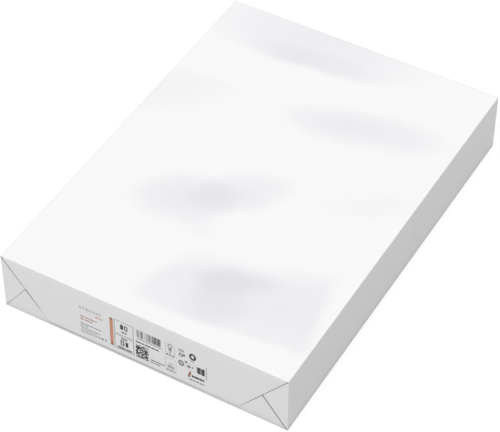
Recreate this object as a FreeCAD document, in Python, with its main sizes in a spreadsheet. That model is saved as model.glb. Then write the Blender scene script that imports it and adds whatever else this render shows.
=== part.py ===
"""Ream of A3 office paper, sealed in its paper wrapper.

The pack is one closed solid. It lies flat on its underside with its long side along Y, and the
origin is in the middle of the underside. The wrapper goes round the long sides and its lap is glued
along the underside, where the weight presses it flat. At each end the side tucks fold in first, then the base flap folds up, and last
the top flap folds down over both and covers the end almost to the base.
All lengths are in millimetres and all angles in degrees.
"""

import FreeCAD, Part
import os

import Sketcher

PARTS_FOLDER = "parts"

# Driving dimensions
SIZES = {
    "sheet_width": 297,  # A3, short side
    "sheet_length": 420,  # A3, long side
    "sheet_count": 500,
    "sheet_thickness": 0.13,  # 90 g/m2 office paper as it lies in the stack
    "wrap_thickness": 0.15,
    "tuck_thickness": 0.3,  # side tucks, folded flat on each end
    "bend_radius": 0.5,  # outside of every folded edge
    "lap_edge": 22,  # cut edge of the glued lap, from the middle of the underside
    "lap_slope": 4,  # run over which the inner layer comes down to the underside beside it
    "base_slant_left": 35.1,  # slanted edges, from the vertical, as seen from the front
    "base_slant_right": 38.2,
    "base_flap_reach": 46,  # free edge above the pack's underside
    "base_flap_lift": 0.45,  # how far its free edge springs out
    "top_slant_left": 38.2,
    "top_slant_right": 38.9,
    "top_flap_lift": 0.75,  # how far it springs out at half height
    "free_edge_height": 5.1,  # its cut edge, above what the pack lies on
    "free_edge_lift": 0.75,
    "lip_height": 3,  # how far up its lowest margin stands clear of the base flap
}

# Sketch planes of a body
ACROSS_PACK = "XZ_Plane"
ALONG_PACK = "YZ_Plane"

# Formulas that several pieces share
STACK_HEIGHT = "(sizes.sheet_count * sizes.sheet_thickness)"
TOP = f"(2 * sizes.wrap_thickness + {STACK_HEIGHT})"
HALF_WIDTH = "(sizes.sheet_width / 2 + sizes.wrap_thickness)"
HALF_LENGTH = "(sizes.sheet_length / 2 + sizes.tuck_thickness)"
FLAT_HALF_WIDTH = f"({HALF_WIDTH} - sizes.bend_radius)"
END_FACE = f"({HALF_LENGTH} + sizes.wrap_thickness)"
BEND_CENTRE = f"({END_FACE} - sizes.bend_radius)"
BEND_MIDDLE = "(sizes.bend_radius * cos(45))"
ROOT = f"({BEND_CENTRE} - sizes.bend_radius)"


def make_sheet(doc):
    """Write the driving dimensions into the document's spreadsheet."""
    sheet = doc.addObject("Spreadsheet::Sheet", "sizes")
    for row, (alias, value) in enumerate(SIZES.items(), start=1):
        sheet.set(f"A{row}", alias)
        sheet.set(f"B{row}", str(value))
        sheet.setAlias(f"B{row}", alias)
    doc.recompute()


def new_sketch(body, name, plane):
    """Start a sketch on one of the body's own origin planes."""
    sketch = body.newObject("Sketcher::SketchObject", name)
    support = next(f for f in body.Origin.OriginFeatures if f.Role == plane)
    sketch.AttachmentSupport = [(support, "")]
    sketch.MapMode = "FlatFace"
    return sketch


def spot(sketch, formulas):
    """Where a pair of formulas puts a point of the sketch now."""
    across, up = (sketch.evalExpression(f) for f in formulas)
    return FreeCAD.Vector(float(across), float(up), 0)


def hold(sketch, geometry, vertex, formulas):
    """Tie a sketch point to its pair of formulas."""
    place = spot(sketch, formulas)
    for kind, axis, value, formula in (
        ("DistanceX", -2, place.x, formulas[0]),
        ("DistanceY", -1, place.y, formulas[1]),
    ):
        if formula == "0":
            sketch.addConstraint(Sketcher.Constraint("PointOnObject", geometry, vertex, axis))
            continue
        index = sketch.addConstraint(Sketcher.Constraint(kind, -1, 1, geometry, vertex, value))
        sketch.setExpression(f"Constraints[{index}]", formula)


def draw_outline(sketch, runs):
    """Draw a closed outline. Each run is (corner, None) for a straight line to the next corner, or
    (corner, point) for an arc through that point. Corners and points are pairs of formulas."""
    drawn = []
    for number, (corner, through) in enumerate(runs):
        begin, finish = spot(sketch, corner), spot(sketch, runs[(number + 1) % len(runs)][0])
        if through is None:
            geometry = sketch.addGeometry(Part.LineSegment(begin, finish), False)
        else:
            geometry = sketch.addGeometry(Part.Arc(begin, spot(sketch, through), finish), False)
        first = sketch.getPoint(geometry, 1)
        forward = first.distanceToPoint(begin) < first.distanceToPoint(finish)
        drawn.append((geometry, 1 if forward else 2, 2 if forward else 1))
    for number, (geometry, begin, finish) in enumerate(drawn):
        after, after_begin, _ = drawn[(number + 1) % len(drawn)]
        sketch.addConstraint(Sketcher.Constraint("Coincident", geometry, finish, after, after_begin))
        corner, through = runs[number]
        hold(sketch, geometry, begin, corner)
        if through is not None:
            mark = sketch.addGeometry(Part.Point(spot(sketch, through)), True)
            sketch.addConstraint(Sketcher.Constraint("PointOnObject", mark, 1, geometry))
            hold(sketch, mark, 1, through)


def pad_both_ways(body, name, sketch, length):
    """Pad a sketch by half the length to each side of its plane."""
    pad = body.newObject("PartDesign::Pad", name)
    pad.Profile = sketch
    pad.SideType = "Symmetric"
    pad.setExpression("Length", length)
    return pad


def make_wrapped_stack(doc):
    """The stack with the wrapper round it and the side tucks folded flat on its ends. A shallow
    groove lies along the underside, beside the cut edge of the glued lap."""
    body = doc.addObject("PartDesign::Body", "wrapped_stack")
    sketch = new_sketch(body, "stack_outline", ACROSS_PACK)
    right, left = HALF_WIDTH, f"-{HALF_WIDTH}"
    corners = [(left, "0"), (right, "0"), (right, TOP), (left, TOP)]
    draw_outline(sketch, [(corner, None) for corner in corners])
    stack = pad_both_ways(body, "stack", sketch, f"2 * {HALF_LENGTH}")
    doc.recompute()
    bends = body.newObject("PartDesign::Fillet", "wrapper_bends")
    bends.Base = (stack, ["Face1"])
    bends.UseAllEdges = True
    bends.setExpression("Radius", "sizes.bend_radius")
    sketch = new_sketch(body, "lap_groove_section", ACROSS_PACK)
    slope_end = "(sizes.lap_edge + sizes.lap_slope)"
    corners = [
        ("sizes.lap_edge", "-sizes.wrap_thickness"),
        ("sizes.lap_edge", "sizes.wrap_thickness"),
        (slope_end, "0"),
        (slope_end, "-sizes.wrap_thickness"),
    ]
    draw_outline(sketch, [(corner, None) for corner in corners])
    groove = body.newObject("PartDesign::Pocket", "lap_groove")
    groove.Profile = sketch
    groove.SideType = "Symmetric"
    groove.setExpression("Length", f"2 * ({HALF_LENGTH} - sizes.bend_radius)")
    return body


def trim_flap(body, name, fold, fold_side, free):
    """Cut a flap to its slanted edges, from the ends of its fold line towards its free edge."""
    sketch = new_sketch(body, f"{name}_flap_outline", ACROSS_PACK)
    outside = f"({HALF_WIDTH} + sizes.bend_radius)"
    beyond_fold = f"({fold} {fold_side} sizes.bend_radius)"
    for side, slant in (("", f"{name}_slant_right"), ("-", f"{name}_slant_left")):
        free_half = f"({FLAT_HALF_WIDTH} - abs({fold} - {free}) * tan(sizes.{slant}))"
        corners = [
            (f"{side}{FLAT_HALF_WIDTH}", fold),
            (f"{side}{free_half}", free),
            (f"{side}{outside}", free),
            (f"{side}{outside}", beyond_fold),
            (f"{side}{FLAT_HALF_WIDTH}", beyond_fold),
        ]
        draw_outline(sketch, [(corner, None) for corner in corners])
    pocket = body.newObject("PartDesign::Pocket", f"{name}_flap_slants")
    pocket.Profile = sketch
    pocket.Type = "ThroughAll"
    pocket.SideType = "Symmetric"


def make_base_flap(doc):
    """The flap that folds up from the underside, with its free edge hidden by the top flap."""
    body = doc.addObject("PartDesign::Body", "base_flap")
    sketch = new_sketch(body, "base_flap_section", ALONG_PACK)
    free = "sizes.base_flap_reach"
    bend_through = (f"{BEND_CENTRE} + {BEND_MIDDLE}", f"sizes.bend_radius - {BEND_MIDDLE}")
    runs = [
        ((BEND_CENTRE, "0"), bend_through),
        ((END_FACE, "sizes.bend_radius"), None),
        ((f"{END_FACE} + sizes.base_flap_lift", free), None),
        ((ROOT, free), None),
        ((ROOT, "0"), None),
    ]
    draw_outline(sketch, runs)
    pad_both_ways(body, "base_flap_sheet", sketch, f"2 * {FLAT_HALF_WIDTH}")
    doc.recompute()
    trim_flap(body, "base", "0", "-", free)
    return body


def make_top_flap(doc):
    """The flap that folds down last and covers the end. It bows out, and its cut edge stands clear of
    the base flap as a lip of one thickness of paper."""
    body = doc.addObject("PartDesign::Body", "top_flap")
    sketch = new_sketch(body, "top_flap_section", ALONG_PACK)
    bend_base = f"({TOP} - sizes.bend_radius)"
    free = "sizes.free_edge_height"
    lip_top = f"({free} + sizes.lip_height)"
    lip_front = f"({END_FACE} + sizes.free_edge_lift)"
    lip_back = f"({lip_front} - sizes.wrap_thickness)"
    half_height = f"(({bend_base} + {free}) / 2)"
    runs = [
        ((BEND_CENTRE, TOP), (f"{BEND_CENTRE} + {BEND_MIDDLE}", f"{bend_base} + {BEND_MIDDLE}")),
        ((END_FACE, bend_base), (f"{END_FACE} + sizes.top_flap_lift", half_height)),
        ((lip_front, free), None),
        ((lip_back, free), None),
        ((lip_back, lip_top), None),
        ((ROOT, lip_top), None),
        ((ROOT, TOP), None),
    ]
    draw_outline(sketch, runs)
    pad_both_ways(body, "top_flap_sheet", sketch, f"2 * {FLAT_HALF_WIDTH}")
    doc.recompute()
    trim_flap(body, "top", TOP, "+", free)
    return body


def mirror_to_front(doc, body):
    """The same flap on the other end of the pack."""
    twin = doc.addObject("Part::Mirroring", f"{body.Name}_front")
    twin.Source = body
    twin.Normal = (0, 1, 0)
    return twin


def check(doc, pack):
    """Stop if a feature failed, or if the pack isn't one sound solid that took in all its pieces."""
    failed = [o.Name for o in doc.Objects if {"Invalid", "Error"} & set(o.State)]
    if failed:
        raise RuntimeError(f"these features failed: {failed}")
    shape = pack.Shape
    if shape.isNull() or not shape.isValid() or len(shape.Solids) != 1:
        raise RuntimeError("the pack isn't one valid solid")
    volumes = [piece.Shape.Volume for piece in pack.Shapes]
    if not max(volumes) < shape.Volume < sum(volumes):
        raise RuntimeError("the pieces aren't fused into the pack")
    box = shape.BoundBox
    print(f"pack {box.XLength:.2f} x {box.YLength:.2f} x {box.ZLength:.2f}, {len(shape.Faces)} faces")


def main():
    doc = FreeCAD.newDocument("ream_of_paper")
    make_sheet(doc)
    stack = make_wrapped_stack(doc)
    flaps = [make_base_flap(doc), make_top_flap(doc)]
    doc.recompute()
    flaps += [mirror_to_front(doc, flap) for flap in list(flaps)]
    pack = doc.addObject("Part::MultiFuse", "pack")
    pack.Label = "wrapped_ream"
    pack.Shapes = [stack] + flaps
    pack.Refine = True
    doc.recompute()
    check(doc, pack)
    os.makedirs(PARTS_FOLDER, exist_ok=True)
    pack.Shape.exportStep(os.path.join(PARTS_FOLDER, f"{pack.Label}.step"))


main()
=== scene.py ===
import math
import random

import bmesh
import bpy
from mathutils import Matrix, Quaternion, Vector, noise


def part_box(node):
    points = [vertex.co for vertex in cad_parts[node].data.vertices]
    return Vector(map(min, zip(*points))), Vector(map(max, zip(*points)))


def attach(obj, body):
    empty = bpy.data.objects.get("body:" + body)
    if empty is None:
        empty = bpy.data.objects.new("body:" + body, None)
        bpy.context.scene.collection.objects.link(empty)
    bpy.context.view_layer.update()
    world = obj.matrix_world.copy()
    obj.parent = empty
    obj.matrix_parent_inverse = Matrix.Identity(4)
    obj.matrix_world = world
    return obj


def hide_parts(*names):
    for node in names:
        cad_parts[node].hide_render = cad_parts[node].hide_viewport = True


mm = 0.001
touching = 0.001 * mm  # two points nearer to each other than this are in one place
onPlane = 1e-7  # and a corner nearer than this to a cut lies on it
facing = 0.999  # a face whose normal is turned at least this squarely to a side belongs to it

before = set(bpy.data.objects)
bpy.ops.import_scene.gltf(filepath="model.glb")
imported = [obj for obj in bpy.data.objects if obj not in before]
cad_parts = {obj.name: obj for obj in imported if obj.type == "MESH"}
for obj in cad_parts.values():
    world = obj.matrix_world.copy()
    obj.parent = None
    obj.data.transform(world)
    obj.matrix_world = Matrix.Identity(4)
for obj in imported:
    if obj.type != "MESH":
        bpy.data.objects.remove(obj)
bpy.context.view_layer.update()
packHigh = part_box("wrapped_ream")[1]
print("frame loaded")


# a socket of a material's node tree, so that sums read as plain sums
class Wire:
    def __init__(self, tree, socket):
        self.tree = tree
        self.socket = socket

    def math(self, operation, first, second):
        node = self.tree.nodes.new("ShaderNodeMath")
        node.operation = operation
        for slot, value in zip(node.inputs, (first, second)):
            if isinstance(value, Wire):
                self.tree.links.new(value.socket, slot)
            else:
                slot.default_value = value
        return Wire(self.tree, node.outputs[0])

    def __add__(self, other):
        return self.math("ADD", self, other)

    def __sub__(self, other):
        return self.math("SUBTRACT", self, other)

    def __rsub__(self, other):
        return self.math("SUBTRACT", other, self)

    def __mul__(self, other):
        return self.math("MULTIPLY", self, other)

    def __truediv__(self, other):
        return self.math("DIVIDE", self, other)

    def __pow__(self, other):
        return self.math("POWER", self, other)

    def atMost(self, other):
        return self.math("MINIMUM", self, other)

    def atLeast(self, other):
        return self.math("MAXIMUM", self, other)

    __radd__ = __add__
    __rmul__ = __mul__


# the nodes of a material or of the world
class Finish:
    def __init__(self, owner):
        owner.use_nodes = True
        self.tree = owner.node_tree
        self.tree.nodes.clear()

    def node(self, kind, settings=None, sockets=None, out=0):
        node = self.tree.nodes.new("ShaderNode" + kind)
        for name, value in (settings or {}).items():
            setattr(node, name, value)
        for name, value in (sockets or {}).items():
            if isinstance(value, Wire):
                self.tree.links.new(value.socket, node.inputs[name])
            else:
                node.inputs[name].default_value = value
        return Wire(self.tree, node.outputs[out]) if node.outputs else None

    def blend(self, factor, first, second):
        settings = {"data_type": "RGBA"}
        return self.node("Mix", settings, {0: factor, 6: first, 7: second}, out=2)

    def place(self):
        return self.node("TexCoord", out="Object")

    def split(self, vector):
        whole = self.node("SeparateXYZ", sockets={0: vector}).socket.node
        return [Wire(self.tree, part) for part in whole.outputs]

    # 1 on the rays that see the background: from the camera, off gloss and through glass
    def backgroundRays(self):
        seen = self.node("LightPath", out="Is Camera Ray")
        mirrored = self.node("LightPath", out="Is Glossy Ray")
        through = self.node("LightPath", out="Is Transmission Ray")
        return (seen + mirrored + through).atMost(1)


# a colour as a paint program shows it, 0 to 255
def tone(red, green, blue):
    linear = [((c / 255 + 0.055) / 1.055) ** 2.4 for c in (red, green, blue)]
    return (*linear, 1)


# 0 up to low and 1 from high on, with a soft turn between them
def smooth(low, high, value):
    part = min(1, max(0, (value - low) / (high - low)))
    return part * part * (3 - 2 * part)


# makes the mesh a piece on the pack's one body, with folds above sharpFrom degrees left sharp
def finishPiece(bm, name, material, sharpFrom=26):
    bmesh.ops.recalc_face_normals(bm, faces=bm.faces)
    mesh = bpy.data.meshes.new(name)
    bm.to_mesh(mesh)
    bm.free()
    mesh.shade_smooth()
    mesh.set_sharp_from_angle(angle=math.radians(sharpFrom))
    mesh.materials.append(material)
    piece = bpy.data.objects.new(name, mesh)
    bpy.context.scene.collection.objects.link(piece)
    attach(piece, "root")
    return piece


# The wrapper: bends, grid and the glued lap

wrap = {
    "bend": 0.5 * mm,  # radius of the folded edges
    "bendSegments": 4,
    "layer": 0.15 * mm,  # one thickness of paper
    "guard": 0.4 * mm,  # cut beside each bend, which keeps the big faces flat
    "grid": 14 * mm,  # from one cut to the next along and across the pack
    "rowStep": 3 * mm,  # and up its sides and ends
    "ripple": 0.12 * mm,  # depth of the paper's slight unevenness
    "rippleSize": 60 * mm,
    "rippleFade": 22 * mm,  # beside the folds, where it is flat
    "lapEdge": 22 * mm,  # cut edge of the glued lap, from the middle of the underside
    "lapSlope": 4 * mm,  # width of the groove beside it
}

# The end folds
folds = {
    "springRoom": 0.983 * mm,  # the flaps' room, past the side tucks
    "topBow": 0.40 * mm,  # how far the top flap stands out at half its height
    "baseLift": 0.45 * mm,  # how far the base flap's far end stands out
    "baseReach": 46 * mm,  # and how high up it is
    "freeEdge": 5.1 * mm,  # height of the top flap's free edge
    "freeLift": (0.70 * mm, 0.58 * mm),  # how far it stands out, left and right
    "freeTurn": (40 * mm, 66 * mm),  # where the one goes over to the other
    "lip": 3 * mm,  # how far up the free edge stands clear
    "settle": 1.5 * mm,  # over which a flap's layer comes in at its fold
    "pressed": 0.3,  # share of its bow that the top flap keeps along its slanted edges
    "pressedFrom": 22 * mm,
    "gapSteps": (0.12 * mm, 1.6 * mm),  # depth of the slits, in two steps
    "footShade": 0.13,  # painted shade at the foot of the pack, and how far up it goes
    "footReach": 8.5 * mm,
}

# The slit beside each edge of a flap. The slant is the edge's angle from the vertical, in degrees.
# The gap is the slit's width, and shade is the depth of the painted shade beside it, each at the
# corner of the pack and at the slit's other end. The painted shade is even over "hold" and fades
# over "fade".
# Between the two shares of the slit's length in "turn" the first shade goes over to the second.
# Lengths are in mm, and the slit under the free edge goes from left to right
slits = {
    "topLeft": {
        "slant": 38.7, "gap": (0.76, 0.58), "shade": (0.65, 0.30),
        "hold": 0, "fade": 1.2, "turn": (0.1, 1.1)},
    "topRight": {
        "slant": 38.65, "gap": (0.42, 0.44), "shade": (0.50, 0.0),
        "hold": 0, "fade": 0.8, "turn": (0.1, 1.1)},
    "baseLeft": {
        "slant": 35.7, "gap": (0.24, 0.42), "shade": (0.10, 0.32),
        "hold": 0, "fade": 0.8, "turn": (0.1, 1.1)},
    "baseRight": {
        "slant": 37.55, "gap": (0.68, 0.76), "shade": (0.30, 0.50),
        "hold": 0, "fade": 0.8, "turn": (0.1, 1.1)},
    "free": {
        "gap": (0.25, 0.25), "shade": (0.43, 0.18),
        "hold": 1.5, "fade": 1.4, "turn": (0.70, 0.83)},
}

halfWidth = packHigh.x
tuckFace = packHigh.y - folds["springRoom"]
flatHalf = halfWidth - wrap["bend"]
flatTop = packHigh.z - wrap["bend"]
flatBase = wrap["bend"]
freeEdge = folds["freeEdge"]


# evenly spaced places between two ends
def spread(low, high, step):
    count = round((high - low) / step)
    return [low + (high - low) * i / count for i in range(1, count)]


rows = spread(freeEdge, flatTop, wrap["rowStep"])
rows += [flatTop - wrap["guard"], flatBase + wrap["guard"]]
columns = spread(-flatHalf, flatHalf, wrap["grid"])
columns += [-flatHalf + wrap["guard"], flatHalf - wrap["guard"]]


# how far the back of the top flap stands out from the side tucks
def topLift(x, z):
    left, right = folds["freeLift"]
    end = left + (right - left) * smooth(*folds["freeTurn"], x)
    slant = slits["topRight" if x > 0 else "topLeft"]["slant"]
    outline = flatHalf - (packHigh.z - z) * math.tan(math.radians(slant))
    reach = folds["pressedFrom"]
    beside = (1 - smooth(0, reach, outline - abs(x))) * smooth(freeEdge, reach, z)
    down = (flatTop - z) / (flatTop - freeEdge)
    bow = (4 * folds["topBow"] - end) * down + (2 * end - 4 * folds["topBow"]) * down * down
    return bow * (1 - (1 - folds["pressed"]) * beside)


# one thickness of paper, which comes in beside the fold
def layerAt(fromFold):
    return wrap["layer"] * smooth(0, folds["settle"], fromFold)


# how far the base flap stands out from the side tucks
def baseLift(x, z):
    return layerAt(z - flatBase) + folds["baseLift"] * (z - flatBase) / folds["baseReach"]


# faces with their edges and corners
def withEdges(faces):
    whole = set(faces)
    for face in faces:
        whole.update(face.edges)
        whole.update(face.verts)
    return list(whole)


# a cut through some of the faces, along a plane
def cut(bm, faces, point, normal):
    bmesh.ops.bisect_plane(bm, geom=withEdges(faces), dist=onPlane, plane_co=point, plane_no=normal)


# a region of faces pulled out of its surface, each corner moved by what the given function says
def pullOut(bm, faces, shift):
    made = bmesh.ops.extrude_face_region(bm, geom=withEdges(faces))["geom"]
    for part in made:
        if isinstance(part, bmesh.types.BMVert):
            part.co += shift(part.co)
    return [part for part in made if isinstance(part, bmesh.types.BMFace)]


def mergeCorners(bm):
    bmesh.ops.remove_doubles(bm, verts=bm.verts, dist=touching)


# the wrapped stack with its side tucks, as a block with rounded folds
def makeBlock():
    bm = bmesh.new()
    bm.verts.layers.float.new("shade")
    bmesh.ops.create_cube(bm, size=1)
    bmesh.ops.scale(bm, vec=(2 * halfWidth, 2 * tuckFace, packHigh.z), verts=bm.verts)
    bmesh.ops.translate(bm, vec=(0, 0, packHigh.z / 2), verts=bm.verts)
    bmesh.ops.bevel(bm, geom=bm.edges[:], offset=wrap["bend"], offset_type="OFFSET",
                    segments=wrap["bendSegments"], profile=0.5, affect="EDGES", material=-1)
    return bm


def cutGrid(bm):
    reach = tuckFace - wrap["bend"]
    along = spread(-reach, reach, wrap["grid"])
    along += [-reach + wrap["guard"], reach - wrap["guard"]]
    for x in columns + [wrap["lapEdge"], wrap["lapEdge"] + wrap["lapSlope"]]:
        cut(bm, bm.faces[:], (x, 0, 0), (1, 0, 0))
    for y in along:
        cut(bm, bm.faces[:], (0, y, 0), (0, 1, 0))
    for z in rows:
        cut(bm, bm.faces[:], (0, 0, z), (0, 0, 1))


# the shallow groove on the underside, beside the cut edge of the glued lap
def sinkLap(bm):
    end = wrap["lapEdge"] + wrap["lapSlope"]
    groove = []
    bm.normal_update()
    for face in bm.faces:
        if face.normal.z < -facing and wrap["lapEdge"] < face.calc_center_median().x < end:
            groove.append(face)
    pullOut(bm, groove, lambda at: Vector((0, 0, wrap["layer"] * (end - at.x) / wrap["lapSlope"])))
    mergeCorners(bm)


# slight unevenness of the top and the long sides, which only goes inwards
def ripple(bm):
    for vert in bm.verts:
        at = vert.co
        if abs(at.y) > tuckFace - wrap["bend"]:
            continue
        sway = noise.noise(at / wrap["rippleSize"]) * 0.5 + 0.5
        inward = wrap["ripple"] * sway * smooth(0, wrap["rippleFade"], tuckFace - abs(at.y))
        if at.z > packHigh.z - touching:
            at.z -= inward * smooth(0, wrap["rippleFade"], flatHalf - abs(at.x))
        elif abs(at.x) > halfWidth - touching:
            edge = min(flatTop - at.z, at.z - flatBase)
            at.x -= math.copysign(inward, at.x) * smooth(0, wrap["rippleFade"], edge)


# a line on the end of the pack, from one point to another, with its outer side
class EndLine:
    def __init__(self, start, end, outward):
        self.start = start
        self.along = end - start
        self.normal = Vector((self.along.z, 0, -self.along.x)).normalized()
        if self.normal.dot(outward) < 0:
            self.normal.negate()

    # how far a point lies outside the line
    def past(self, point):
        return (point - self.start).dot(self.normal)

    # how far along the line a point lies, where 0 and 1 are its ends
    def progress(self, point):
        return (point - self.start).dot(self.along) / self.along.length_squared

    # a line further out, by one width in mm at its start and one at its end
    def beside(self, width):
        ends = zip((self.start, self.start + self.along), width)
        return EndLine(*[at + self.normal * reach * mm for at, reach in ends], self.normal)


# one edge of a flap, with the slit beside it and the painted shade beside that
class FlapEdge:
    def __init__(self, name, start, end, outward):
        slit = slits[name]
        corners = [Vector((x, 0, z)) for x, z in (start, end)]
        self.edge = EndLine(*corners, Vector(outward))
        self.rim = self.edge.beside(slit["gap"])
        held = self.rim.beside((slit["hold"], slit["hold"]))
        faded = held.beside((slit["fade"], slit["fade"]))
        self.lines = (self.edge, self.rim, held, faded)
        self.shade, self.turn = slit["shade"], slit["turn"]
        self.hold, self.fade = slit["hold"] * mm, slit["fade"] * mm

    # how deep the painted shade is at a point
    def shadeAt(self, point):
        near, progress = self.rim.past(point), self.rim.progress(point)
        if near < -touching:
            return 0
        beyond = max(-progress, progress - 1, 0) * self.rim.along.length
        faint = max(0, near - self.hold) + beyond
        deep = self.shade[0] + (self.shade[1] - self.shade[0]) * smooth(*self.turn, progress)
        return deep * max(0, 1 - faint / self.fade)


# a flap's slanted edge, from the height of its fold to that of its far end, on the left (hand -1)
# or the right (hand 1)
def slantEdge(name, hand, fold, far):
    inward = abs(fold - far) * math.tan(math.radians(slits[name]["slant"]))
    return FlapEdge(name, (hand * flatHalf, fold), (hand * (flatHalf - inward), far), (hand, 0, 0))


topEdges = [
    slantEdge("topLeft", -1, packHigh.z, freeEdge),
    slantEdge("topRight", 1, packHigh.z, freeEdge),
]
freeCorners = [(slanted.edge.start + slanted.edge.along).xz for slanted in topEdges]
topEdges.append(FlapEdge("free", *freeCorners, (0, 0, -1)))
baseEdges = [
    slantEdge("baseLeft", -1, 0, folds["baseReach"]),
    slantEdge("baseRight", 1, 0, folds["baseReach"]),
]


# how far a point lies outside a flap's outline
def pastFlap(edges, point):
    return max(edge.edge.past(point) for edge in edges)


# and outside the rim of the slits round it
def pastRim(edges, point):
    return max(edge.rim.past(point) for edge in edges)


# the slits go down in two steps, because their paper is painted in full shade from just below the
# rim
def sinkSlits(bm, faces, side):
    for depth in folds["gapSteps"]:
        faces = pullOut(bm, faces, lambda at: Vector((0, -side * depth, 0)))
        for vert in {vert for face in faces for vert in face.verts}:
            vert[bm.verts.layers.float["shade"]] = 1


# the faces of one end, which is the front (side -1) or the back (side 1)
def endFaces(bm, side):
    bm.normal_update()
    return [face for face in bm.faces
            if face.normal.y * side > facing and face.verts[0].co.y * side > 0]


# a faint painted shade all round the foot of the pack, darkest at the floor
def shadeFoot(bm):
    shade = bm.verts.layers.float["shade"]
    for vert in bm.verts:
        near = max(0, 1 - vert.co.z / folds["footReach"])
        vert[shade] += (1 - vert[shade]) * folds["footShade"] * near


def raiseFlap(bm, faces, lift, side):
    return pullOut(bm, faces, lambda at: Vector((0, side * lift(at), 0)))


# the base flap, the top flap over it and the slits beside them, on one end
def foldEnd(bm, side):
    for edge in topEdges + baseEdges:
        for line in edge.lines:
            cut(bm, endFaces(bm, side), line.start, line.normal)
    topFlap, baseFlap, sunk = [], [], []
    for face in endFaces(bm, side):
        at = face.calc_center_median()
        if pastFlap(topEdges, at) < 0:
            topFlap.append(face)
        elif pastRim(topEdges, at) < 0:
            sunk.append(face)
        elif pastFlap(baseEdges, at) < 0:
            baseFlap.append(face)
        elif pastRim(baseEdges, at) < 0:
            sunk.append(face)
    sinkSlits(bm, sunk, side)
    raiseFlap(bm, baseFlap, lambda at: baseLift(at.x, at.z), side)
    mergeCorners(bm)
    shadeEnd(bm, side)
    topFlap = [face for face in topFlap if face.is_valid]  # slivers are merged away
    topFlap = raiseFlap(bm, topFlap, lambda at: topLift(at.x, at.z), side)
    raiseFlap(bm, topFlap, lambda at: layerAt(flatTop - at.z), side)
    mergeCorners(bm)
    clearLip(bm, side)


# the painted shade beside the slits, and the full painted shade on the base flap's cut rim inside
# the top flap's slits
def shadeEnd(bm, side):
    shade = bm.verts.layers.float["shade"]
    for vert in bm.verts:
        at, level = vert.co, vert.co.y * side - tuckFace
        outside = pastRim(topEdges, at)
        if level < -touching or outside < -touching:
            continue
        if outside < touching and level < touching and pastFlap(baseEdges, at) < -touching:
            vert[shade] = 1
            continue
        vert[shade] = max(edge.shadeAt(at) for edge in topEdges + baseEdges)


# the top flap's free edge stands clear as one thickness of paper, with a gap behind it whose roof
# is painted in full shade
def clearLip(bm, side):
    bm.normal_update()
    backs = []
    for face in bm.faces:
        at = face.calc_center_median()
        if abs(at.z - freeEdge) < touching and 0 < at.y * side - tuckFace < topLift(at.x, at.z):
            backs.append(face)
    roof = pullOut(bm, backs, lambda at: Vector((0, 0, folds["lip"])))
    for vert in {vert for face in roof for vert in face.verts}:
        vert[bm.verts.layers.float["shade"]] = 1


paper = {
    "white": tone(243, 243, 244),
    "cloud": tone(222, 221, 227),
    # the colour that the painted shade in and beside the slits, under the free edge and at the foot
    # goes towards
    "slit": tone(45, 45, 47),
    "roughness": 0.42,
    "specular": 0.35,
    "rim": 2.4 * mm,  # width of the painted shade along the top's left and back folds, which turn away from the light
    "rimShade": 0.07,
    "rimDepth": 1 * mm,  # how far down the folds it goes
    "fibreSize": 1.1 * mm,
    "fibreDepth": 0.012 * mm,
    # soft grey clouds on the paper: middle x and y, half length and half width in mm, tilt in
    # degrees, strength, and the names of the edges that they end at
    "clouds": (
        (-44, 196, 134, 66, 3, 0.48, ("far",)),
        (-36, 166, 86, 21, 4, 0.32, ("far",)),
        (54, 101, 92, 29, 13, 0.57, ()),
        (-134, 64, 88, 38, 42, 0.24, ("left",)),
        (114, 14, 58, 20, 27, 0.15, ()),
        (-46, -63, 57, 35, 26, 0.60, ()),
        (-2, -30, 58, 30, 38, 0.54, ()),
        (-12, -84, 24, 20, 0, 0.16, ()),
        (60, -130, 190, 120, 6, 0.56, ("near", "nearLeft", "nearRight", "nearTop")),
        (50, -160, 36, 44, 8, 0.36, ("near",)),
        (52, -130, 50, 18, 22, 0.44, ()),
    ),
    # an edge: x and y of a point that it goes through in mm, its direction in degrees with the
    # cloud on its left, and over how many mm the cloud comes in
    "cloudEdges": {
        "far": (-150, 145, 3.8, 9),
        "left": (-69, 105, 186, 10),
        "near": (-22, -199, 5.4, 8),
        "nearLeft": (-23, -150, 259, 18),
        "nearRight": (141, -125, 99, 10),
        "nearTop": (64, -98, 199, 26),
    },
    "cloudFall": 1.2,  # above 1, a cloud grows faint more softly towards its outline
    "cloudSway": (15 * mm, 11 * mm),  # how far the outline wanders, in x and y
    "cloudSize": 75 * mm,  # from one such wave to the next
    "cloudChange": 0.6,  # how much the strength changes from place to place
}


# 1 on a cloud's side of its edge and 0 past it
def cloudEdge(x, y, edgeX, edgeY, direction, softness):
    turnX, turnY = math.cos(math.radians(direction)), math.sin(math.radians(direction))
    inside = (y - edgeY * mm) * turnX - (x - edgeX * mm) * turnY
    return (inside / (softness * mm)).atLeast(0).atMost(1)


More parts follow.
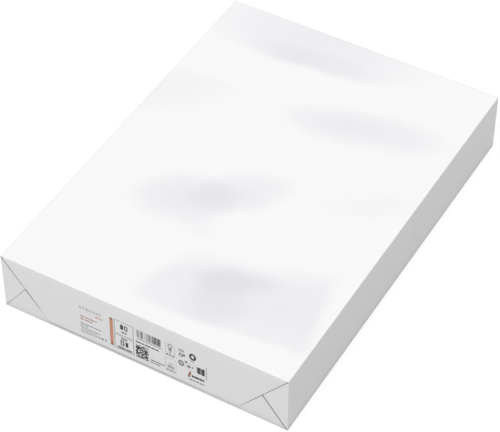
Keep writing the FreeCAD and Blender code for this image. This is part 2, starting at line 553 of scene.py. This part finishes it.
def makePaper():
    material = bpy.data.materials.new("wrapper_paper")
    finish = Finish(material)
    place = finish.place()
    sway = finish.node("TexNoise", None, {
        "Vector": place, "Scale": 1 / paper["cloudSize"],
        "Detail": 3.0, "Roughness": 0.45}, out="Color")
    swayX, swayY, swayZ = finish.split(sway)
    x, y, z = finish.split(place)
    # painted shade along the top's left and back folds, where the paper turns away from the light
    fromEdge = (x + halfWidth).atMost(tuckFace - y)
    rim = (1 - fromEdge / paper["rim"]).atLeast(0) * paper["rimShade"]
    rim = rim * (1 - (packHigh.z - z) / paper["rimDepth"]).atLeast(0)
    x = x + (swayX - 0.5) * (2 * paper["cloudSway"][0])
    y = y + (swayY - 0.5) * (2 * paper["cloudSway"][1])
    cloudy = None
    for middleX, middleY, halfX, halfY, tilt, strength, ends in paper["clouds"]:
        turnX, turnY = math.cos(math.radians(tilt)), math.sin(math.radians(tilt))
        offX, offY = x - middleX * mm, y - middleY * mm
        across = (offX * turnX + offY * turnY) / (halfX * mm)
        along = (offY * turnX - offX * turnY) / (halfY * mm)
        inside = (1 - across * across - along * along).atLeast(0)
        patch = inside ** paper["cloudFall"] * strength
        for end in ends:
            patch = patch * cloudEdge(x, y, *paper["cloudEdges"][end])
        cloudy = patch if cloudy is None else cloudy + patch
    change = paper["cloudChange"]
    cloudy = (cloudy * (1 - change / 2 + swayZ * change)).atMost(1)
    colour = finish.blend(cloudy, paper["white"], paper["cloud"])
    # the painted shade from the mesh and the painted shade along the top's folds darken the paper
    # towards that colour
    shade = finish.node("Attribute", {"attribute_name": "shade"}, out="Fac")
    colour = finish.blend((shade + rim).atMost(1), colour, paper["slit"])
    fibre = finish.node("TexNoise", None, {
        "Vector": place, "Scale": 1 / paper["fibreSize"], "Detail": 4.0, "Roughness": 0.6})
    bump = finish.node("Bump", None, {
        "Strength": 1.0, "Distance": paper["fibreDepth"], "Height": fibre})
    shader = finish.node("BsdfPrincipled", None, {
        "Base Color": colour, "Roughness": paper["roughness"],
        "Specular IOR Level": paper["specular"], "Normal": bump})
    finish.node("OutputMaterial", None, {"Surface": shader})
    return material


bm = makeBlock()
cutGrid(bm)
sinkLap(bm)
ripple(bm)
for side in (-1, 1):
    foldEnd(bm, side)
shadeFoot(bm)
wrapper = finishPiece(bm, "wrapper", makePaper())
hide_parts("wrapped_ream")
print("wrapper folded")


# The print on the front end: plain bars, frames and marks. Their places are in mm, across from the
# left and up from the base

label = {
    "start": 0.38 * mm,  # where the places across start, from the pack's left side
    "thick": 0.03 * mm,
    "sunk": 0.05 * mm,  # how far each shape reaches into the paper
    "roundSegments": 4,
    "discCorners": 28,
    "letter": 0.55,  # width of a letter of small print, as a share of its height
    "space": 0.45,  # and of the space between two words
    "roughness": 0.5,
    "grain": 900.0,  # of the ink, in a metre
    "grainLight": 0.10,  # how much lighter its lightest grain is
}

# the block of upright bars, whose right part is closer than its left
uprights = {
    "across": (144.0, 169.5),
    "height": (37.3, 46.8),
    "lastStart": 169.0,
    "widths": (0.35, 0.7, 1.0),
    "gaps": (0.35, 0.7, 1.1),
    "closeFrom": 158,
    "closeness": (1.25, 0.5),  # how far the gaps are widened on the left and on the right
    "seed": 7,
}

checks = {
    "corner": (142.4, 10.8),
    "size": (13.4, 16.8),
    "cells": (12, 15),  # across and up
    "filled": 0.73,  # share of the cells that are printed
    "cellShare": 0.98,  # share of its cell that a printed square covers
    "seed": 11,
}

inks = {
    "black": (26, 26, 29),
    "grey": (120, 120, 124),
    "pale": (178, 178, 184),
    "faint": (200, 200, 203),
    "orange": (203, 141, 111),
    "rust": (158, 102, 80),
    "red": (190, 146, 142),
}


# one colour of the print, as flat shapes on the end of the pack
class Ink:
    upright = Matrix.Rotation(math.radians(90), 4, "X")

    def __init__(self):
        self.bm = bmesh.new()
        self.known = set()

    # the faces made since the last call
    def newFaces(self):
        faces = [face for face in self.bm.faces if face not in self.known]
        self.known = set(self.bm.faces)
        return faces

    # what makes a shape of unit size fill its place on the end, turned by some degrees
    def at(self, left, right, base, top, turn=0):
        across = (left + right) / 2 * mm + label["start"] - halfWidth
        place = Matrix.Translation((across, 0, (base + top) / 2 * mm))
        size = Matrix.Diagonal(((right - left) * mm, (top - base) * mm, 1, 1))
        return place @ Matrix.Rotation(math.radians(turn), 4, "Y") @ self.upright @ size

    def bar(self, left, right, base, top, turn=0, round=0):
        place = self.at(left, right, base, top, turn)
        made = bmesh.ops.create_grid(self.bm, x_segments=1, y_segments=1, size=0.5, matrix=place)
        if round:
            bmesh.ops.bevel(self.bm, geom=made["verts"], offset=round * mm, offset_type="OFFSET",
                            segments=label["roundSegments"], profile=0.5, affect="VERTICES",
                            material=-1)
        return self.newFaces()

    def disc(self, left, right, base, top):
        place = self.at(left, right, base, top)
        bmesh.ops.create_circle(self.bm, cap_ends=True, segments=label["discCorners"], radius=0.5,
                                matrix=place)
        return self.newFaces()

    # leaves a line of the given width along the outline
    def hollow(self, faces, line):
        bmesh.ops.inset_region(self.bm, faces=faces, thickness=line * mm,
                               use_even_offset=True, use_boundary=True)
        bmesh.ops.delete(self.bm, geom=faces, context="FACES_ONLY")
        self.newFaces()

    # a line of small print, as bars of word length
    def words(self, left, right, base, top, lengths=(5, 3, 7, 4, 2, 6), gap=None):
        gap = gap or (top - base) * label["space"]
        letter = (top - base) * label["letter"]
        at, number = left, 0
        while at < right - letter:
            end = min(right, at + lengths[number % len(lengths)] * letter)
            self.bar(at, end, base, top)
            at, number = end + gap, number + 1

    # gives the flat shapes a thickness and lays them on the bowed flap
    def finish(self, name):
        bm = self.bm
        made = bmesh.ops.extrude_face_region(bm, geom=bm.faces[:])["geom"]
        fronts = [part for part in made if isinstance(part, bmesh.types.BMVert)]
        bmesh.ops.translate(bm, vec=(0, -1, 0), verts=fronts)
        for z in rows:
            cut(bm, bm.faces[:], (0, 0, z), (0, 0, 1))
        for vert in bm.verts:
            proud = label["thick"] if vert.co.y < -0.5 else -label["sunk"]
            vert.co.y = -(tuckFace + topLift(vert.co.x, vert.co.z) + wrap["layer"] + proud)
        material = bpy.data.materials.new("ink_" + name)
        look = Finish(material)
        grain = look.node("TexNoise", None, {
            "Vector": look.place(), "Scale": label["grain"], "Detail": 2.0})
        dark = tone(*inks[name])
        light = tone(*[c + (255 - c) * label["grainLight"] for c in inks[name]])
        shader = look.node("BsdfPrincipled", None, {
            "Base Color": look.blend(grain, dark, light), "Roughness": label["roughness"]})
        look.node("OutputMaterial", None, {"Surface": shader})
        finishPiece(bm, "print_" + name, material)


def printUprights(ink):
    dice = random.Random(uprights["seed"])
    at, right = uprights["across"]
    leftGap, rightGap = uprights["closeness"]
    while at < uprights["lastStart"]:
        width = dice.choice(uprights["widths"])
        ink.bar(at, min(at + width, right), *uprights["height"])
        gap = dice.choice(uprights["gaps"]) * (leftGap if at < uprights["closeFrom"] else rightGap)
        at += width + gap


def printChecks(ink):
    dice = random.Random(checks["seed"])
    cellsAcross, cellsUp = checks["cells"]
    firstLeft, firstBase = checks["corner"]
    cellX, cellZ = checks["size"][0] / cellsAcross, checks["size"][1] / cellsUp
    share = checks["cellShare"]
    for column in range(cellsAcross):
        for row in range(cellsUp):
            if dice.random() < checks["filled"]:
                left, base = firstLeft + column * cellX, firstBase + row * cellZ
                ink.bar(left, left + cellX * share, base, base + cellZ * share)


def printLabel():
    black, grey, pale, faint, orange, rust, red = [Ink() for _ in inks]
    # heading and lines of small print on the left
    faint.words(83.2, 108.0, 41.9, 45.5, (1, 1, 2, 1, 1, 1), gap=1.2)
    orange.words(99.9, 106.6, 37.9, 39.4)
    grey.words(106.9, 107.9, 38.0, 39.0)
    red.words(83.7, 101.4, 31.6, 33.3)
    red.words(83.6, 96.9, 28.1, 29.8, (4, 6, 3, 5))
    grey.words(83.6, 107.0, 22.7, 23.8)
    grey.words(83.7, 91.4, 20.1, 21.2, (4, 3))
    grey.words(83.6, 104.2, 17.0, 18.1, (3, 6, 4, 5))
    grey.words(83.5, 99.5, 14.2, 15.2)
    grey.words(83.5, 98.0, 11.6, 12.6, (6, 2, 4))
    pale.words(99.2, 112.8, 11.7, 14.9, (1, 1, 2, 1), gap=1.1)
    # the upright bar and two framed marks
    rust.bar(115.3, 118.9, 44.2, 47.6, round=1.2)
    orange.bar(115.3, 118.9, 15.0, 44.2)
    rust.bar(115.3, 118.9, 11.4, 15.0, round=1.5)
    for base, top in ((30.2, 47.7), (10.7, 29.0)):
        grey.hollow(grey.bar(120.0, 140.4, base, top), 0.6)
    black.bar(126.4, 129.7, 37.9, 44.1, round=1.0)
    black.hollow(black.bar(130.6, 134.2, 37.8, 44.2, round=1.2), 1.1)
    black.words(127.7, 133.2, 33.6, 35.3, (3, 2, 3))
    grey.words(126.9, 133.3, 24.5, 27.0, (3, 4), gap=0.5)
    black.hollow(black.bar(126.2, 130.0, 16.5, 23.2, round=0.6), 1.1)
    black.bar(131.4, 134.2, 16.8, 22.9, round=0.6)
    grey.words(123.0, 137.8, 11.8, 14.4, (6, 4, 5), gap=0.5)
    # the block of upright bars and the checked block
    printUprights(black)
    grey.words(144.4, 169.8, 34.9, 36.2, (2, 2, 2, 2))
    black.words(142.6, 166.2, 30.2, 31.8, (6, 3, 7, 4))
    printChecks(black)
    grey.words(157.6, 172.1, 14.0, 15.6, (5, 7, 4))
    grey.words(157.6, 167.6, 11.2, 12.5, (4, 3, 5))
    # two pale rounded frames with marks
    pale.hollow(pale.bar(173.4, 183.2, 30.7, 47.5, round=1.2), 0.4)
    pale.hollow(pale.bar(173.4, 184.3, 10.4, 28.1, round=1.2), 0.4)
    grey.hollow(grey.disc(175.8, 180.7, 41.3, 46.5), 0.9)
    grey.bar(176.6, 180.0, 38.2, 41.1, round=0.9)
    grey.bar(177.9, 179.0, 34.4, 37.8)
    grey.words(174.2, 182.4, 31.7, 33.4, (3, 2, 3))
    pale.hollow(pale.disc(176.4, 180.8, 18.8, 22.4), 0.9)
    pale.bar(175.4, 182.4, 15.0, 18.6, round=0.5)
    pale.words(174.2, 183.4, 11.2, 13.6, (2, 3, 2), gap=0.6)
    # small marks on the right
    pale.bar(187.0, 192.9, 43.6, 46.7, round=0.4)
    grey.hollow(grey.bar(187.4, 191.8, 37.1, 41.8, round=1.4), 1.3)
    grey.bar(192.0, 193.7, 38.5, 42.1, round=0.6)
    black.hollow(black.disc(197.8, 205.0, 38.4, 47.1), 2.2)
    grey.words(199.0, 203.7, 36.1, 37.5, (2, 2))
    black.hollow(black.disc(186.7, 192.4, 25.0, 32.4), 1.1)
    black.bar(189.0, 190.1, 27.0, 30.6)
    black.disc(193.6, 196.0, 31.5, 34.1)
    pale.hollow(pale.bar(193.4, 205.4, 24.4, 33.0, round=2.4), 0.4)
    grey.bar(195.6, 199.2, 26.7, 29.7, round=0.8)
    grey.disc(200.4, 202.2, 27.4, 29.8)
    for left, right in ((206.0, 209.0), (209.3, 210.3), (210.6, 213.6)):
        black.bar(left, right, 24.2, 32.7, round=0.4)
    rust.bar(197.0, 199.1, 14.2, 22.6, turn=14, round=0.9)
    black.words(200.2, 213.0, 16.2, 18.8, (2, 3, 2, 2), gap=0.35)
    grey.words(198.0, 213.4, 11.4, 13.1, (3, 2, 4))
    for step in range(5):
        pale.bar(214.7, 216.0, 20.4 + step * 3.6, 22.9 + step * 3.6)
    for name, ink in zip(inks, (black, grey, pale, faint, orange, rust, red)):
        ink.finish(name)


printLabel()
print("label printed")


# Floor, light and camera

floorSetup = {
    "size": 12.0,
    "colour": tone(145, 145, 145),
    "roughness": 0.9,
    "whiteToCamera": 0.78,  # how much the camera sees it glow
}


def makeFloor():
    bm = bmesh.new()
    bmesh.ops.create_grid(bm, x_segments=4, y_segments=4, size=floorSetup["size"] / 2)
    mesh = bpy.data.meshes.new("floor")
    bm.to_mesh(mesh)
    bm.free()
    material = bpy.data.materials.new("floor_white")
    finish = Finish(material)
    glow = finish.blend(finish.backgroundRays(), (0, 0, 0, 1), (1, 1, 1, 1))
    shader = finish.node("BsdfPrincipled", None, {
        "Base Color": floorSetup["colour"], "Roughness": floorSetup["roughness"],
        "Specular IOR Level": 0.0, "Emission Color": glow,
        "Emission Strength": floorSetup["whiteToCamera"]})
    finish.node("OutputMaterial", None, {"Surface": shader})
    mesh.materials.append(material)
    floor = bpy.data.objects.new("floor", mesh)
    bpy.context.scene.collection.objects.link(floor)


light = {
    "sky": 0.77,
    "key": 0.346,  # the key lamp's share, where 1 shows a colour as it is written
    "keyFrom": (-0.087, -0.592, 0.801),
    "keyAway": 3,  # metres
    "keySoft": 30,  # degrees
}


# turns a lamp or the camera to where it looks, and adds it to the scene
def lookAlong(thing, direction, roll=0):
    turn = Quaternion((0, 0, 1), math.radians(roll))
    thing.rotation_euler = (Vector(direction).to_track_quat("-Z", "Y") @ turn).to_euler()
    bpy.context.scene.collection.objects.link(thing)


def makeLight():
    world = bpy.data.worlds.new("studio")
    bpy.context.scene.world = world
    finish = Finish(world)
    white = finish.backgroundRays()
    strength = white + (1 - white) * light["sky"]
    sky = finish.node("Background", None, {"Color": (1, 1, 1, 1), "Strength": strength})
    finish.node("OutputWorld", None, {"Surface": sky})
    lamp = bpy.data.lights.new("key", "SUN")
    lamp.energy = light["key"] * math.pi
    lamp.angle = math.radians(light["keySoft"])
    thing = bpy.data.objects.new("key", lamp)
    thing.location = Vector(light["keyFrom"]) * light["keyAway"]
    lookAlong(thing, -Vector(light["keyFrom"]))


view = {
    "place": (0.66793, -1.18898, 1.37118),
    "aim": (-0.00493, -0.00912, 0.01352),
    "roll": 0.30,  # degrees
    "lens": 144.99,
    "sensor": 36,
}


def makeCamera():
    camera = bpy.data.cameras.new("camera")
    camera.lens = view["lens"]
    camera.sensor_width = view["sensor"]
    camera.clip_start = 0.05
    thing = bpy.data.objects.new("camera", camera)
    thing.location = view["place"]
    lookAlong(thing, Vector(view["aim"]) - Vector(view["place"]), view["roll"])
    bpy.context.scene.camera = thing


makeFloor()
makeLight()
makeCamera()
bpy.context.scene.view_settings.view_transform = "Standard"
print("stage set")
